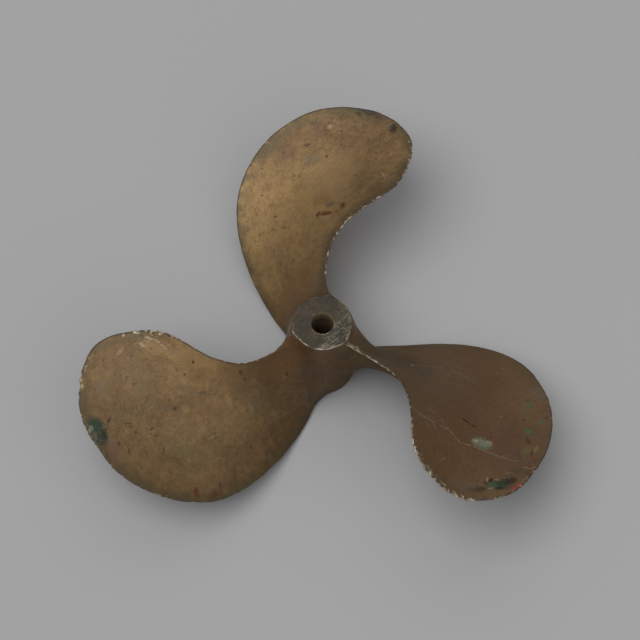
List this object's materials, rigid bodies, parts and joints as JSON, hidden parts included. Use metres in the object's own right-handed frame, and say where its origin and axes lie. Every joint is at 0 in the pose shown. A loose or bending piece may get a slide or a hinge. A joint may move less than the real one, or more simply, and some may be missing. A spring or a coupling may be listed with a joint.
{
  "type": "ship propeller",
  "caption": "Left-hand fixed-pitch boat propeller cast in one piece: wide skewed blades around a slim tapered hub with a taper bore.",
  "frame": {"origin": "on the shaft axis at the hub's forward end face, which lies on the floor", "axes": "+Z along the shaft axis towards the aft end and the driving faces, which look up; +Y along the reference line of the first blade; +X to its right as seen from aft"},
  "size_m": [0.4599, 0.4277, 0.1138],
  "materials": {
    "cast_bronze": "dull brown, tarnished and stained, worn bright along the edges"
  },
  "bodies": {
    "root": {"propeller_casting": "cast_bronze"}
  },
  "joints": []
}
